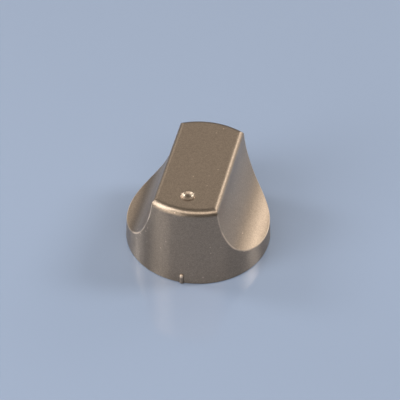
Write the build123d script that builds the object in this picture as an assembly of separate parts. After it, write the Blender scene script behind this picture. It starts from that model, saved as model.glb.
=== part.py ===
"""Appliance control knob: a hollow moulded knob with a finger grip, and the steel ring round its hub.

The origin is the centre of the rim that faces the appliance's panel. +Z is the shaft's axis, from the
panel towards the top face. The grip runs along Y, and its pointer end, with the dimple and the rim
mark, is at -Y. The two finger scoops are at -X and +X.
"""

from build123d import *
from math import atan2, cos, hypot, pi, radians, sin, sqrt, tan
import os

# Driving sizes, in millimetres and degrees.

# Skirt and top face
base_radius = 20.0  # skirt at the rim
knob_height = 25.5  # rim to top face
skirt_draft = 2.6  # lean of the skirt towards the axis
front_round = 2.1  # where the skirt turns into the top face, at both ends of the grip
rim_chamfer = 0.3  # outer edge of the rim

# Grip and finger scoops
grip_width = 17.75  # across the top face, at its long edges before they are rounded
grip_draft = 3.0  # lean of the grip's flanks where they leave the top face
flank_radius = 34.0  # upper, flatter curve of a flank
scoop_radius = 13.5  # lower, rounder curve of a flank
scoop_floor = 4.8  # lowest point of a scoop above the rim
scoop_edge_round = 0.35  # all round the edge of a scoop
grip_edge_round = 1.6  # long edges of the top face

# Pointer marks
dimple_diameter = 3.9
dimple_depth = 0.9
dimple_setback = 6.2  # dimple's centre behind the skirt's line at the top face
dimple_edge_round = 0.15
mark_width = 1.25  # upright rib on the skirt, under the pointer
mark_height = 3.2
mark_proud = 0.55  # how far the rib stands out of the skirt
mark_foot = 0.3  # rib's foot above the rim

# Hollow underside
side_wall = 2.0  # skirt and scoops
top_wall = 2.2  # under the top face
hollow_chamfer = 0.8  # inner corner under the top face
web_thickness = 1.4
end_web_setback = 8.0  # lower edge of the webs along the grip, above the rim
side_web_gap = 1.5  # slots' ends to the lower edge of the webs across the grip

# Shaft that the knob fits, and its socket in the hub
shaft_radius = 4.0
shaft_flat = 2.5  # shaft's axis to its flat, which faces +Y
socket_clearance = 0.05  # round the D-shaped end of the shaft
socket_length = 12.0
lead_in_clearance = 0.3  # round the plain part of the shaft
lead_in_length = 3.5
mouth_chamfer = 0.5

# Hub
hub_wall = 1.7  # round the D-shaped socket
hub_setback = 2.0  # hub's mouth above the rim
hub_edge_chamfer = 0.4
slot_width = 1.2
slot_length = 8.0

# Spring ring in its groove round the hub
ring_thickness = 0.6
ring_height = 3.5
ring_gap = 3.0
ring_corner_round = 0.5
groove_depth = 0.3
groove_setback = 1.2  # groove above the hub's mouth
ring_radial_play = 0.02
ring_axial_play = 0.05

# Places and sizes that follow from the ones above.
lean = tan(radians(skirt_draft))
top_radius = base_radius - knob_height * lean
beyond = 2 * (base_radius + knob_height)  # longer than anything that it has to cut through
hub_radius = shaft_radius + socket_clearance + hub_wall
lead_in_radius = shaft_radius + lead_in_clearance
lead_in_top = hub_setback + mouth_chamfer + lead_in_length
slot_top = hub_setback + slot_length
groove_radius = hub_radius - groove_depth
groove_height = ring_height + 2 * ring_axial_play
ring_foot = hub_setback + groove_setback + ring_axial_play
UPWARD = (Align.CENTER, Align.CENTER, Align.MIN)


def polar(centre, radius, angle):
    """Point of the XZ section at this angle, in radians, on a circle."""
    return (centre[0] + radius * cos(angle), centre[1] + radius * sin(angle))


def flank_centres():
    """Centres of a flank's two arcs in the XZ section.

    The upper arc leaves the top face's long edge at the grip's draft. The lower arc touches both the
    upper arc and the scoop's floor.
    """
    draft = radians(grip_draft)
    upper = (grip_width / 2 + flank_radius * cos(draft), knob_height + flank_radius * sin(draft))
    lower_z = scoop_floor + scoop_radius
    lower_x = upper[0] - sqrt((flank_radius - scoop_radius) ** 2 - (upper[1] - lower_z) ** 2)
    return upper, (lower_x, lower_z)


def both_sides(section):
    """An XZ section at +X, drawn out along Y, with its mirror image at -X."""
    right = extrude(section, amount=beyond, both=True)
    return right + mirror(right, about=Plane.YZ)


def scoops(wall=0.0):
    """What the two finger scoops take away, grown into the knob by a wall."""
    upper, lower = flank_centres()
    start = pi + radians(grip_draft)
    join = atan2(lower[1] - upper[1], lower[0] - upper[0]) + 2 * pi
    floor = 1.5 * pi
    edge = polar(upper, flank_radius + wall, start)
    bend = polar(upper, flank_radius + wall, join)
    bottom = polar(lower, scoop_radius + wall, floor)
    above = (edge[0] - (beyond - edge[1]) * tan(radians(grip_draft)), beyond)
    with BuildSketch(Plane.XZ) as section:
        with BuildLine():
            ThreePointArc(edge, polar(upper, flank_radius + wall, (start + join) / 2), bend)
            ThreePointArc(bend, polar(lower, scoop_radius + wall, (join + floor) / 2), bottom)
            Polyline(bottom, (beyond, bottom[1]), (beyond, beyond), above, edge)
        make_face()
    return both_sides(section.sketch)


def grip_edge_cutter():
    """What rounding the top face's long edges takes away: outside an arc that touches face and flank."""
    upper, _ = flank_centres()
    reach = flank_radius + grip_edge_round
    centre_z = knob_height - grip_edge_round
    centre = (upper[0] - sqrt(reach**2 - (upper[1] - centre_z) ** 2), centre_z)
    to_flank = atan2(upper[1] - centre[1], upper[0] - centre[0])
    on_flank = polar(centre, grip_edge_round, to_flank)
    on_top = polar(centre, grip_edge_round, pi / 2)
    outside = grip_width / 2 + grip_edge_round
    above = knob_height + grip_edge_round
    with BuildSketch(Plane.XZ) as section:
        with BuildLine():
            ThreePointArc(on_top, polar(centre, grip_edge_round, (pi / 2 + to_flank) / 2), on_flank)
            Polyline(on_flank, (outside, on_flank[1]), (outside, above), (on_top[0], above), on_top)
        make_face()
    return both_sides(section.sketch)


def skirt_cone(wall, height):
    """Solid cone inside the skirt, this wall thick, up to a height. Its seam lies at the back."""
    foot = base_radius - wall
    cone = Cone(foot, foot - height * lean, height, align=UPWARD)
    return Rot(0, 0, 90) * cone


def level_edges(body, height, kinds):
    """Edges of these kinds that lie in the level plane at this height."""
    level = body.edges().filter_by_position(Axis.Z, height - 1e-3, height + 1e-3)
    return [edge for edge in level if edge.geom_type in kinds]


def outer_form():
    """Outside of the knob as one solid: skirt, scoops, rounds, dimple and rim mark."""
    body = skirt_cone(0.0, knob_height) - scoops()
    body = fillet(level_edges(body, knob_height, [GeomType.CIRCLE]), front_round)
    # A scoop's edge runs smoothly round the whole scoop, so one edge of it rounds them all.
    body = fillet(level_edges(body, knob_height, [GeomType.LINE]), scoop_edge_round)
    body -= grip_edge_cutter()
    body = chamfer(level_edges(body, 0.0, [GeomType.CIRCLE]), rim_chamfer)
    return dimpled(body) + rim_mark()


def dimpled(body):
    """The spherical pointer dimple near the front of the top face, with its edge softened."""
    radius = (dimple_diameter**2 / 4 + dimple_depth**2) / (2 * dimple_depth)
    place_y = dimple_setback - top_radius
    body -= Pos(0, place_y, knob_height - dimple_depth + radius) * Sphere(radius)
    rim = [
        edge
        for edge in level_edges(body, knob_height, [GeomType.CIRCLE])
        if abs(edge.arc_center.Y - place_y) < dimple_edge_round
    ]
    return fillet(rim, dimple_edge_round)


def rim_mark():
    """Half-round upright rib with a domed top, leaning with the skirt."""
    radius = mark_width / 2
    straight = mark_height - mark_foot - radius
    rib = Cylinder(radius, straight, align=UPWARD) + Pos(0, 0, straight) * Sphere(radius)
    axis_y = mark_foot * lean - (base_radius + mark_proud - radius)
    return Pos(0, axis_y, mark_foot) * Rot(-skirt_draft, 0, 0) * rib


def hollow_form():
    """The space under the knob before the hub and the webs stand in it."""
    ceiling = knob_height - top_wall
    space = skirt_cone(side_wall, ceiling) - scoops(side_wall)
    return chamfer(level_edges(space, ceiling, [GeomType.CIRCLE, GeomType.LINE]), hollow_chamfer)


def webs():
    """Two webs along the grip and two across it, each from the hub out to the wall."""
    end_web = Pos(0, 0, end_web_setback) * Box(web_thickness, beyond, beyond, align=UPWARD)
    side_web_foot = slot_top + side_web_gap
    side_web = Pos(0, 0, side_web_foot) * Box(beyond, web_thickness, beyond, align=UPWARD)
    return end_web + side_web


def hub_blank():
    """Outside of the hub, with the ring's groove and a chamfer at the mouth."""
    hub = Cylinder(hub_radius, knob_height, align=UPWARD)
    hub = Pos(0, 0, hub_setback) * chamfer(level_edges(hub, 0.0, [GeomType.CIRCLE]), hub_edge_chamfer)
    band = Cylinder(hub_radius + groove_depth, groove_height, align=UPWARD)
    band -= Cylinder(groove_radius, groove_height, align=UPWARD)
    return hub - Pos(0, 0, hub_setback + groove_setback) * band


def shaft_space():
    """D-shaped socket, its round lead-in and the chamfered mouth, as a solid to take away."""
    lead_in = Pos(0, 0, hub_setback) * Cylinder(lead_in_radius, lead_in_top - hub_setback, align=UPWARD)
    mouth = Cone(lead_in_radius + mouth_chamfer, lead_in_radius, mouth_chamfer, align=UPWARD)
    socket_radius = shaft_radius + socket_clearance
    socket = Pos(0, 0, lead_in_top) * Cylinder(socket_radius, socket_length, align=UPWARD)
    beyond_flat = Box(beyond, beyond, beyond, align=(Align.CENTER, Align.MIN, Align.CENTER))
    socket -= Pos(0, shaft_flat + socket_clearance, 0) * beyond_flat
    return lead_in + Pos(0, 0, hub_setback) * mouth + socket


def hub_slots():
    """One cut through both sides of the hub, so that its front and back halves can spring."""
    return Pos(0, 0, hub_setback) * Box(
        2 * (hub_radius + groove_depth), slot_width, slot_length, align=UPWARD
    )


def knob_body():
    """The one-piece moulding."""
    hollow = hollow_form() - hub_blank() - webs()
    return outer_form() - hollow - shaft_space() - hub_slots()


def spring_ring():
    """Open steel band in the hub's groove, with rounded corners at its gap, which faces the pointer."""
    inner = groove_radius + ring_radial_play
    outer = inner + ring_thickness
    band = Cylinder(outer, ring_height, align=UPWARD) - Cylinder(inner, ring_height, align=UPWARD)
    band -= Box(ring_gap, outer, ring_height, align=(Align.CENTER, Align.MAX, Align.MIN))
    corners = [
        edge
        for edge in band.edges().filter_by(GeomType.LINE)
        if abs(edge.length - ring_thickness) < ring_thickness / 2
    ]
    band = fillet(corners, ring_corner_round)
    return Pos(0, 0, ring_foot) * band


def main():
    os.makedirs("parts", exist_ok=True)
    for name, make in (("knob_body", knob_body), ("spring_ring", spring_ring)):
        export_step(make(), f"parts/{name}.step")


main()
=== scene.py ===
from math import cos, pi, radians, sin, sqrt, tan

import bpy
from bpy.props import FloatProperty, FloatVectorProperty, IntProperty, PointerProperty
from bpy.types import Operator, Panel, PropertyGroup
from mathutils import Matrix, Vector


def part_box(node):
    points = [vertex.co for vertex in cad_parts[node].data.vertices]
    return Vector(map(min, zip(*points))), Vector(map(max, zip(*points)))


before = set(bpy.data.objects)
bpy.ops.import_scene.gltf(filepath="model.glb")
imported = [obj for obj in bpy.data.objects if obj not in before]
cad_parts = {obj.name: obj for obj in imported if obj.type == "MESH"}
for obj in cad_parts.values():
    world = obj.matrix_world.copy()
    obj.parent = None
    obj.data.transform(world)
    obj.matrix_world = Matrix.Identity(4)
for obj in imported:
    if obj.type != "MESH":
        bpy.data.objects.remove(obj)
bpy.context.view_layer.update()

bl_info = {
    "name": "Appliance knob finishes",
    "version": (1, 0, 0),
    "blender": (4, 5, 0),
    "location": "3D Viewport > Sidebar > Knob",
    "description": "Paints a control knob, finishes its spring ring and sets up the studio round it",
    "category": "Material",
}

BODY = "knob_body"
RING = "spring_ring"
MM = 0.001  # lengths in this file are in metres


def length(name, description, default):
    return FloatProperty(name=name, description=description, default=default, min=0.0,
                         subtype="DISTANCE", unit="LENGTH", precision=5)


def share(name, description, default):
    return FloatProperty(name=name, description=description, default=default, min=0.0, max=1.0,
                         subtype="FACTOR")


def angle(name, description, degrees):
    return FloatProperty(name=name, description=description, default=radians(degrees),
                         subtype="ANGLE", unit="ROTATION")


def colour(name, description, default):
    return FloatVectorProperty(name=name, description=description, default=default, size=3,
                               min=0.0, max=1.0, subtype="COLOR")


def level(name, description, default):
    return FloatProperty(name=name, description=description, default=default, min=0.0)


def count(name, description, default):
    return IntProperty(name=name, description=description, default=default, min=3)


class KnobShape(PropertyGroup):
    """Sizes of the outside of the moulding, which tell its painted skin from its bare inside."""

    skirt_radius: length("Skirt radius", "Radius of the skirt at the rim", 20.0 * MM)
    skirt_draft: angle("Skirt draft", "Lean of the skirt towards the axis", 2.6)
    grip_width: length("Grip width", "Width of the grip across the top face", 17.75 * MM)
    grip_draft: angle("Grip draft", "Lean of the grip's flanks at the top face", 3.0)
    flank_radius: length("Flank radius", "Upper, flatter curve of a flank", 34.0 * MM)
    scoop_radius: length("Scoop radius", "Lower, rounder curve of a flank", 13.5 * MM)
    scoop_floor: length("Scoop floor", "Lowest point of a scoop above the rim", 4.8 * MM)
    rib_height: length("Rib height", "Height of the small rib on the skirt", 3.2 * MM)


class PaintSettings(PropertyGroup):
    """Satin champagne paint with a fine metal flake."""

    tint: colour("Colour", "Colour of the paint", (0.364, 0.272, 0.194))
    metal: share("Metallic", "How far the flake makes the paint reflect as metal does", 0.96)
    roughness: share("Roughness", "Roughness of the satin surface", 0.33)
    roughness_spread: share("Roughness spread", "How much the roughness wanders", 0.05)
    roughness_patch: length("Roughness patch", "Width of a patch of rougher or smoother paint", 3.0 * MM)
    flake_size: length("Flake size", "Width of one flake of the paint's grain", 0.22 * MM)
    flake_contrast: share("Flake contrast", "How much the flakes differ in brightness", 0.32)
    flake_tilt: length("Flake relief", "Height of the grain that the flakes make", 0.0026 * MM)
    peel_size: length("Peel size", "Width of the shallow waves in the paint", 1.6 * MM)
    peel_relief: length("Peel relief", "Height of the shallow waves in the paint", 0.0035 * MM)
    speck_spacing: length("Speck spacing", "Distance between places for a speck of dust", 2.0 * MM)
    speck_share: share("Speck share", "Share of the places for a speck that hold one", 0.34)
    speck_radius: length("Speck radius", "Radius of a speck of dust under the paint", 0.3 * MM)
    speck_relief: length("Speck relief", "How far a speck stands out", 0.012 * MM)
    speck_gleam: level("Speck gleam", "Brightness that a speck adds, beside the paint's own", 1.3)
    # The edge settings paint a highlight along the scoops' edges, as a lighter, less metallic colour.
    highlight_tint: colour("Edge colour", "Colour of the thin paint", (0.76, 0.58, 0.42))
    edge_width: length("Edge width", "How far from a scoop's edge its paint is thin", 0.3 * MM)
    highlight_core: length("Edge core", "How far from a scoop's edge its paint is thinnest", 0.09 * MM)
    edge_highlight: share("Edge wear", "How much the thin paint shows along the edges", 0.8)
    highlight_least: share("Least edge wear", "Share of the edges' wear where it is weakest", 0.25)
    highlight_patch: length("Edge patch", "Width of the noise that makes the edges' wear uneven", 7.0 * MM)
    highlight_low: share("Edge low", "Noise value up to which the edges' wear is weakest", 0.35)
    highlight_high: share("Edge high", "Noise value from which the edges' wear is full", 0.65)
    # The tip settings paint a highlight on the rounded tip of the small rib.
    tip_highlight: share("Tip wear", "How much the thin paint shows on the tip of the small rib", 0.6)
    tip_outside: length("Tip outside", "From the rim's radius to the middle of the worn tip", 0.4 * MM)
    tip_width: length("Tip width", "How far from its middle the rib's worn tip ends", 1.1 * MM)
    tip_core: length("Tip core", "How far from its middle the rib's tip is fully worn", 0.7 * MM)
    tip_stand: length("Tip stand", "How far out of the skirt the rib's tip is fully worn", 0.2 * MM)
    film_depth: length("Paint depth", "How far in the paint surely covers the rim", 1.0 * MM)
    film_fade: length("Paint fade", "Width over which the paint ends on the rim", 0.15 * MM)
    ragged_depth: length("Ragged depth", "How unevenly the paint ends on the rim", 0.4 * MM)
    ragged_width: length("Ragged width", "Width of one lobe of the paint's uneven end", 0.8 * MM)
    mist_height: length("Overspray", "How far the overspray reaches up the inside", 5.0 * MM)
    mist_depth: length("Overspray depth", "How far in from the skirt the overspray reaches", 4.0 * MM)
    mist_core: length("Overspray core", "How far in the overspray is thickest", 2.5 * MM)
    mist_level: share("Overspray level", "Noise value below which overspray covers the rim's wall", 0.5)
    mist_drop: length("Overspray drop", "Width of the noise that makes the overspray's drops", 0.12 * MM)


class MouldingSettings(PropertyGroup):
    """Bare plastic inside the knob."""

    tint: colour("Colour", "Colour of the plastic", (0.037, 0.036, 0.035))
    roughness: share("Roughness", "Roughness of the moulded surface", 0.5)


class SteelSettings(PropertyGroup):
    """Rolled spring steel."""

    tint: colour("Colour", "Colour of the steel", (0.56, 0.55, 0.53))
    roughness: share("Roughness", "Roughness of the rolled surface", 0.28)
    roughness_spread: share("Roughness spread", "How much the roughness differs between lines", 0.12)
    line_width: length("Line width", "Width of the rolling lines round the ring", 0.07 * MM)
    line_relief: length("Line relief", "Depth of the rolling lines", 0.002 * MM)
    line_stretch: share("Line stretch", "Width of a rolling line as a share of its length", 0.03)
    line_dark: level("Dark lines", "Brightness of the darkest lines, beside the steel's colour", 0.9)
    line_light: level("Light lines", "Brightness of the lightest lines, beside the steel's colour", 1.08)


class StudioSettings(PropertyGroup):
    """Camera, floor and light."""

    camera_azimuth: angle("Camera azimuth", "From the pointer's side towards +X", 12.75)
    camera_elevation: angle("Camera elevation", "Above the floor", 43.54)
    camera_roll: angle("Camera roll", "Turn of the camera about its own line of sight", 0.40)
    camera_distance: length("Camera distance", "From the aim point to the camera", 514.2 * MM)
    aim_height: length("Aim height", "Height of the aim point on the shaft's axis", 12.0 * MM)
    lens: level("Lens", "Focal length in millimetres on a 36 mm sensor", 169.4)
    shift_right: level("Shift right", "How far the view moves right, in picture widths", 0.0039)
    shift_up: level("Shift up", "How far the view moves up, in picture widths", 0.0028)
    nearest: length("Nearest", "Nearest distance that the camera shows", 10.0 * MM)
    floor_tint: colour("Floor", "Colour of the floor", (0.305, 0.355, 0.45))
    floor_roughness: share("Floor roughness", "Roughness of the polished floor", 0.11)
    floor_ior: level("Floor IOR", "Refractive index of the floor's polish", 1.6)
    floor_radius: length("Floor radius", "Radius of the round floor", 3.0)
    floor_sides: count("Floor sides", "Number of straight sides that make the floor round", 96)
    room_tint: colour("Room", "Colour of the light from the room", (1.0, 1.0, 1.0))
    room_level: level("Room level", "Strength of the light from the room", 0.117)
    lamp_distance: length("Lamp distance", "From the knob to each lamp", 600.0 * MM)


class KnobSettings(PropertyGroup):
    """All that a user can change, kept on the scene."""

    shape: PointerProperty(type=KnobShape)
    paint: PointerProperty(type=PaintSettings)
    moulding: PointerProperty(type=MouldingSettings)
    steel: PointerProperty(type=SteelSettings)
    studio: PointerProperty(type=StudioSettings)


class Finish:
    """One material's nodes, with short ways to add and wire them."""

    def __init__(self, name):
        self.material = bpy.data.materials.new(name)
        self.material.use_nodes = True
        self.tree = self.material.node_tree
        self.shader = self.tree.nodes["Principled BSDF"]
        self.place = self.node("ShaderNodeTexCoord").outputs["Object"]

    def node(self, kind, **settings):
        """Adds a node and sets its own options."""
        node = self.tree.nodes.new(kind)
        for name, value in settings.items():
            setattr(node, name, value)
        return node

    def feed(self, socket, value):
        """Wires an output into a socket, or writes a plain value on it."""
        if isinstance(value, bpy.types.NodeSocket):
            self.tree.links.new(value, socket)
        else:
            socket.default_value = value

    def math(self, operation, *values):
        """Output of one arithmetic step; each value is a number or an output."""
        node = self.node("ShaderNodeMath", operation=operation)
        for socket, value in zip(node.inputs, values):
            self.feed(socket, value)
        return node.outputs[0]

    def fade(self, value, start, end, low=0.0, high=1.0):
        """Goes smoothly from low, where the value is at start, to high, where it is at end."""
        node = self.node("ShaderNodeMapRange", interpolation_type="SMOOTHSTEP")
        for socket, given in zip(node.inputs, (value, start, end, low, high)):
            self.feed(socket, given)
        return node.outputs[0]

    def noise(self, width, detail=2.0, place=None):
        """Soft random values from 0 to 1 with lumps of about this width."""
        node = self.node("ShaderNodeTexNoise")
        self.feed(node.inputs["Vector"], place or self.place)
        self.feed(node.inputs["Scale"], 1.0 / width)
        self.feed(node.inputs["Detail"], detail)
        return node.outputs["Fac"]

    def cells(self, width):
        """Random cells of about this width: a cell's random value and the distance to its middle."""
        node = self.node("ShaderNodeTexVoronoi")
        self.feed(node.inputs["Vector"], self.place)
        self.feed(node.inputs["Scale"], 1.0 / width)
        split = self.node("ShaderNodeSeparateColor")
        self.feed(split.inputs[0], node.outputs["Color"])
        return split.outputs[0], self.math("MULTIPLY", node.outputs["Distance"], width)

    def blend(self, amount, first, second):
        """Colour that goes from the first to the second as the amount goes from 0 to 1."""
        node = self.node("ShaderNodeMix", data_type="RGBA")
        self.feed(node.inputs["Factor"], amount)
        self.feed(node.inputs["A"], first)
        self.feed(node.inputs["B"], second)
        return node.outputs["Result"]

    def relief(self, height, depth, under=None):
        """Bumps of this depth where the height goes from 0 to 1, laid over other bumps if given."""
        node = self.node("ShaderNodeBump")
        self.feed(node.inputs["Height"], height)
        self.feed(node.inputs["Distance"], depth)
        if under is not None:
            self.feed(node.inputs["Normal"], under)
        return node.outputs["Normal"]


def opaque(tint):
    """A stored colour with full alpha, as sockets take it."""
    return (*tint, 1.0)


def dress(node_name, material):
    """Puts a material on a piece of the frame."""
    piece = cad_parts[node_name]
    piece.material_slots[0].material = material


def skin_depth(finish, shape):
    """How deep a point lies under the outside, under the skirt and under the flanks, and its height."""
    split = finish.node("ShaderNodeSeparateXYZ")
    finish.feed(split.inputs[0], finish.place)
    x, y, z = split.outputs
    across = finish.math("ABSOLUTE", x)

    def from_point(centre):
        aside = finish.math("SUBTRACT", across, centre[0])
        above = finish.math("SUBTRACT", z, centre[1])
        squares = finish.math("ADD", finish.math("MULTIPLY", aside, aside),
                              finish.math("MULTIPLY", above, above))
        return finish.math("SQRT", squares)

    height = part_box(BODY)[1].z
    draft = shape.grip_draft
    upper = (shape.grip_width / 2 + shape.flank_radius * cos(draft),
             height + shape.flank_radius * sin(draft))
    lower_z = shape.scoop_floor + shape.scoop_radius
    reach = shape.flank_radius - shape.scoop_radius
    lower = (upper[0] - sqrt(reach**2 - (upper[1] - lower_z) ** 2), lower_z)
    bend_z = upper[1] + (lower[1] - upper[1]) * shape.flank_radius / reach

    squares = finish.math("ADD", finish.math("MULTIPLY", x, x), finish.math("MULTIPLY", y, y))
    skirt_here = finish.math("MULTIPLY_ADD", z, -tan(shape.skirt_draft), shape.skirt_radius)
    skirt_depth = finish.math("SUBTRACT", skirt_here, finish.math("SQRT", squares))
    top_depth = finish.math("SUBTRACT", height, z)
    upper_depth = finish.math("SUBTRACT", from_point(upper), shape.flank_radius)
    lower_depth = finish.math("SUBTRACT", from_point(lower), shape.scoop_radius)
    is_upper = finish.math("GREATER_THAN", z, bend_z)
    change = finish.math("SUBTRACT", upper_depth, lower_depth)
    flank_depth = finish.math("MULTIPLY_ADD", is_upper, change, lower_depth)
    depth = finish.math("MINIMUM", finish.math("MINIMUM", skirt_depth, top_depth), flank_depth)
    return depth, skirt_depth, flank_depth, z


def painted_edge_highlight(finish, skirt_depth, flank_depth, settings):
    """Painted highlight: how far the colour is made lighter and less metallic along the scoops' edges
    and on the tip of the small rib, where light glints on the rounded edges.
    """
    shape, paint = settings.shape, settings.paint
    squares = finish.math("ADD", finish.math("MULTIPLY", skirt_depth, skirt_depth),
                          finish.math("MULTIPLY", flank_depth, flank_depth))
    line = finish.fade(finish.math("SQRT", squares), paint.edge_width, paint.highlight_core)
    patches = finish.fade(finish.noise(paint.highlight_patch), paint.highlight_low, paint.highlight_high,
                          paint.highlight_least, 1.0)
    edges = finish.math("MULTIPLY", finish.math("MULTIPLY", line, patches), paint.edge_highlight)

    # Painted highlight on the rib's rounded tip.
    to_tip = finish.node("ShaderNodeVectorMath", operation="DISTANCE")
    finish.feed(to_tip.inputs[0], finish.place)
    finish.feed(to_tip.inputs[1], (0.0, -shape.skirt_radius - paint.tip_outside, shape.rib_height))
    tip = finish.fade(to_tip.outputs["Value"], paint.tip_width, paint.tip_core, 0.0, paint.tip_highlight)
    stands_out = finish.fade(skirt_depth, 0.0, -paint.tip_stand)
    return finish.math("MAXIMUM", edges, finish.math("MULTIPLY", tip, stands_out))


def painted_share(finish, depth, skirt_depth, z, paint):
    """1 on the painted outside and 0 on the bare inside, with a ragged end and some overspray."""
    ragged = finish.math("MULTIPLY_ADD", finish.noise(paint.ragged_width), paint.ragged_depth, depth)
    end = paint.film_depth + paint.ragged_depth
    film = finish.fade(ragged, end + paint.film_fade, end)
    low = finish.fade(z, paint.mist_height, 0.0, 0.0, paint.mist_level)
    near = finish.fade(skirt_depth, paint.mist_depth, paint.mist_core)
    drops = finish.math("MULTIPLY", low, near)
    mist = finish.math("LESS_THAN", finish.noise(paint.mist_drop, detail=0.0), drops)
    return finish.math("MAXIMUM", film, mist)


def champagne_paint(settings):
    """Satin metallic paint outside and bare dark plastic inside, as one material."""
    paint, moulding = settings.paint, settings.moulding
    finish = Finish("champagne_paint_finish")
    depth, skirt_depth, flank_depth, z = skin_depth(finish, settings.shape)
    painted = painted_share(finish, depth, skirt_depth, z, paint)
    highlit = painted_edge_highlight(finish, skirt_depth, flank_depth, settings)

    flake, _ = finish.cells(paint.flake_size)
    dust_pick, dust_distance = finish.cells(paint.speck_spacing)
    picked = finish.math("GREATER_THAN", dust_pick, 1.0 - paint.speck_share)
    dust = finish.math("MULTIPLY", picked, finish.fade(dust_distance, paint.speck_radius, 0.0))

    shade = finish.math("MULTIPLY_ADD", flake, paint.flake_contrast, 1.0 - paint.flake_contrast / 2)
    shade = finish.math("MULTIPLY_ADD", dust, paint.speck_gleam, shade)
    tinted = finish.node("ShaderNodeVectorMath", operation="SCALE")
    finish.feed(tinted.inputs[0], tuple(paint.tint))
    finish.feed(tinted.inputs["Scale"], shade)
    # Painted highlight: the scoops' edges and the rib's tip blend towards the lighter highlight colour,
    # and lose metal below.
    outside = finish.blend(highlit, tinted.outputs[0], opaque(paint.highlight_tint))
    finish.feed(finish.shader.inputs["Base Color"],
                finish.blend(painted, opaque(moulding.tint), outside))

    metal = finish.math("MULTIPLY", paint.metal, finish.math("SUBTRACT", 1.0, highlit))
    finish.feed(finish.shader.inputs["Metallic"], finish.math("MULTIPLY", painted, metal))
    wander = finish.math("MULTIPLY_ADD", finish.noise(paint.roughness_patch), paint.roughness_spread,
                         paint.roughness - paint.roughness_spread / 2)
    step = finish.math("SUBTRACT", wander, moulding.roughness)
    finish.feed(finish.shader.inputs["Roughness"],
                finish.math("MULTIPLY_ADD", painted, step, moulding.roughness))

    grain = finish.relief(flake, paint.flake_tilt)
    peel = finish.relief(finish.noise(paint.peel_size, detail=1.0), paint.peel_relief, grain)
    finish.feed(finish.shader.inputs["Normal"], finish.relief(dust, paint.speck_relief, peel))
    return finish.material


def spring_steel(settings):
    """Rolled steel with fine lines that run round the ring."""
    steel = settings.steel
    finish = Finish("spring_steel_finish")
    stretched = finish.node("ShaderNodeVectorMath", operation="MULTIPLY")
    finish.feed(stretched.inputs[0], finish.place)
    finish.feed(stretched.inputs[1], (steel.line_stretch, steel.line_stretch, 1.0))
    lines = finish.noise(steel.line_width, place=stretched.outputs[0])
    tint = Vector(steel.tint)
    finish.feed(finish.shader.inputs["Base Color"],
                finish.blend(lines, opaque(tint * steel.line_dark), opaque(tint * steel.line_light)))
    finish.feed(finish.shader.inputs["Metallic"], 1.0)
    finish.feed(finish.shader.inputs["Roughness"],
                finish.math("MULTIPLY_ADD", lines, steel.roughness_spread,
                            steel.roughness - steel.roughness_spread / 2))
    finish.feed(finish.shader.inputs["Normal"], finish.relief(lines, steel.line_relief))
    return finish.material


def toward(azimuth, elevation):
    """Unit vector from the knob; azimuth turns from the pointer's side, -Y, towards +X."""
    return Vector((sin(azimuth) * cos(elevation), -cos(azimuth) * cos(elevation), sin(elevation)))


def add_camera(studio):
    """A long lens that looks down at the knob."""
    back = toward(studio.camera_azimuth, studio.camera_elevation)
    level_right = Vector((cos(studio.camera_azimuth), sin(studio.camera_azimuth), 0))
    level_up = back.cross(level_right)
    roll = studio.camera_roll
    right = level_right * cos(roll) + level_up * sin(roll)
    up = level_up * cos(roll) - level_right * sin(roll)
    camera = bpy.data.objects.new("camera", bpy.data.cameras.new("camera"))
    camera.data.lens = studio.lens
    camera.data.shift_x = studio.shift_right
    camera.data.shift_y = studio.shift_up
    camera.data.clip_start = studio.nearest
    camera.matrix_world = Matrix((right, up, back)).transposed().to_4x4()
    camera.location = Vector((0, 0, studio.aim_height)) + back * studio.camera_distance
    bpy.context.scene.collection.objects.link(camera)
    bpy.context.scene.camera = camera


def add_floor(studio):
    """A large round floor under the rim, plain and polished."""
    turns = [2 * pi * i / studio.floor_sides for i in range(studio.floor_sides)]
    ring = [(studio.floor_radius * cos(turn), studio.floor_radius * sin(turn), 0) for turn in turns]
    mesh = bpy.data.meshes.new("floor")
    mesh.from_pydata(ring, [], [tuple(range(studio.floor_sides))])
    floor = bpy.data.objects.new("floor", mesh)
    finish = Finish("floor_sheet")
    finish.feed(finish.shader.inputs["Base Color"], opaque(studio.floor_tint))
    finish.feed(finish.shader.inputs["Roughness"], studio.floor_roughness)
    finish.feed(finish.shader.inputs["IOR"], studio.floor_ior)
    mesh.materials.append(finish.material)
    bpy.context.scene.collection.objects.link(floor)


PLAIN_WHITE = (1.0, 1.0, 1.0)
COOL_WHITE = (0.94, 1.0, 1.07)
LAMPS = (
    # name, azimuth from the camera and elevation in degrees, width and height in metres,
    # brightness, colour
    ("left", -60.0, 37.0, 0.22, 0.46, 5.8, COOL_WHITE),
    ("left_low", -45.0, 10.0, 0.44, 0.22, 2.0, PLAIN_WHITE),
    ("left_high", -108.0, 40.0, 0.13, 0.18, 12.6, COOL_WHITE),
    ("left_back", -140.0, 22.0, 0.34, 0.30, 0.7, PLAIN_WHITE),
    ("back", 180.0, 42.0, 0.60, 0.50, 0.45, PLAIN_WHITE),
    ("right_back", 130.0, 19.0, 0.50, 0.36, 1.4, PLAIN_WHITE),
    ("right_rim", 127.0, 29.0, 0.20, 0.20, 1.4, PLAIN_WHITE),
    ("right_high", 98.0, 46.0, 0.14, 0.20, 15.3, COOL_WHITE),
    ("front", 4.0, 54.0, 0.60, 0.24, 2.4, PLAIN_WHITE),
)


def add_lamps(studio):
    """Softboxes that face the knob; power goes with area, so brightness compares lamps of any size."""
    for name, azimuth, elevation, width, height, brightness, tint in LAMPS:
        lamp = bpy.data.lights.new(name, "AREA")
        lamp.shape = "RECTANGLE"
        lamp.size = width
        lamp.size_y = height
        lamp.energy = pi * width * height * brightness
        lamp.color = tint
        away = toward(studio.camera_azimuth + radians(azimuth), radians(elevation))
        holder = bpy.data.objects.new(name, lamp)
        holder.location = away * studio.lamp_distance
        holder.rotation_euler = away.to_track_quat("Z", "Y").to_euler()
        bpy.context.scene.collection.objects.link(holder)


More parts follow.
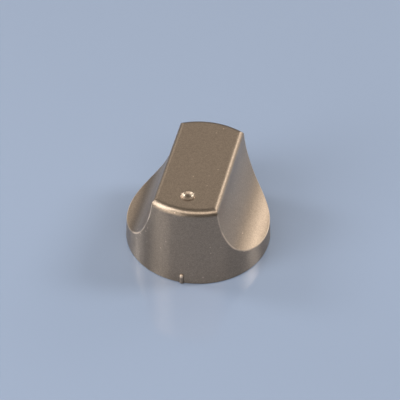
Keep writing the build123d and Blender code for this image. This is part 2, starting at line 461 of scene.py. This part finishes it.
def light_room(studio):
    """Even light from all round."""
    world = bpy.data.worlds.new("room")
    world.use_nodes = True
    background = world.node_tree.nodes["Background"]
    background.inputs["Color"].default_value = opaque(studio.room_tint)
    background.inputs["Strength"].default_value = studio.room_level
    bpy.context.scene.world = world


class KNOB_OT_paint_body(Operator):
    """Paint the outside of the moulding and leave its inside bare"""

    bl_idname = "knob.paint_body"
    bl_label = "Paint the knob"

    def execute(self, context):
        dress(BODY, champagne_paint(context.scene.knob))
        return {"FINISHED"}


class KNOB_OT_finish_ring(Operator):
    """Give the spring ring its rolled steel"""

    bl_idname = "knob.finish_ring"
    bl_label = "Finish the spring ring"

    def execute(self, context):
        dress(RING, spring_steel(context.scene.knob))
        return {"FINISHED"}


class KNOB_OT_build_stage(Operator):
    """Add the camera, the floor and the lights"""

    bl_idname = "knob.build_stage"
    bl_label = "Build the studio"

    def execute(self, context):
        studio = context.scene.knob.studio
        context.scene.view_settings.view_transform = "Standard"
        add_camera(studio)
        add_floor(studio)
        add_lamps(studio)
        light_room(studio)
        return {"FINISHED"}


class KNOB_PT_panel(Panel):
    """Lists the knob's steps"""

    bl_idname = "KNOB_PT_panel"
    bl_label = "Appliance knob"
    bl_space_type = "VIEW_3D"
    bl_region_type = "UI"
    bl_category = "Knob"

    def draw(self, context):
        for operator in OPERATORS:
            self.layout.operator(operator.bl_idname)


GROUPS = (KnobShape, PaintSettings, MouldingSettings, SteelSettings, StudioSettings, KnobSettings)
OPERATORS = (KNOB_OT_build_stage, KNOB_OT_paint_body, KNOB_OT_finish_ring)
CLASSES = (*GROUPS, *OPERATORS, KNOB_PT_panel)


def register():
    for each in CLASSES:
        bpy.utils.register_class(each)
    bpy.types.Scene.knob = PointerProperty(type=KnobSettings)


def unregister():
    del bpy.types.Scene.knob
    for each in reversed(CLASSES):
        bpy.utils.unregister_class(each)


def main():
    register()
    bpy.ops.knob.build_stage()
    bpy.ops.knob.paint_body()
    bpy.ops.knob.finish_ring()


if __name__ == "__main__":
    main()
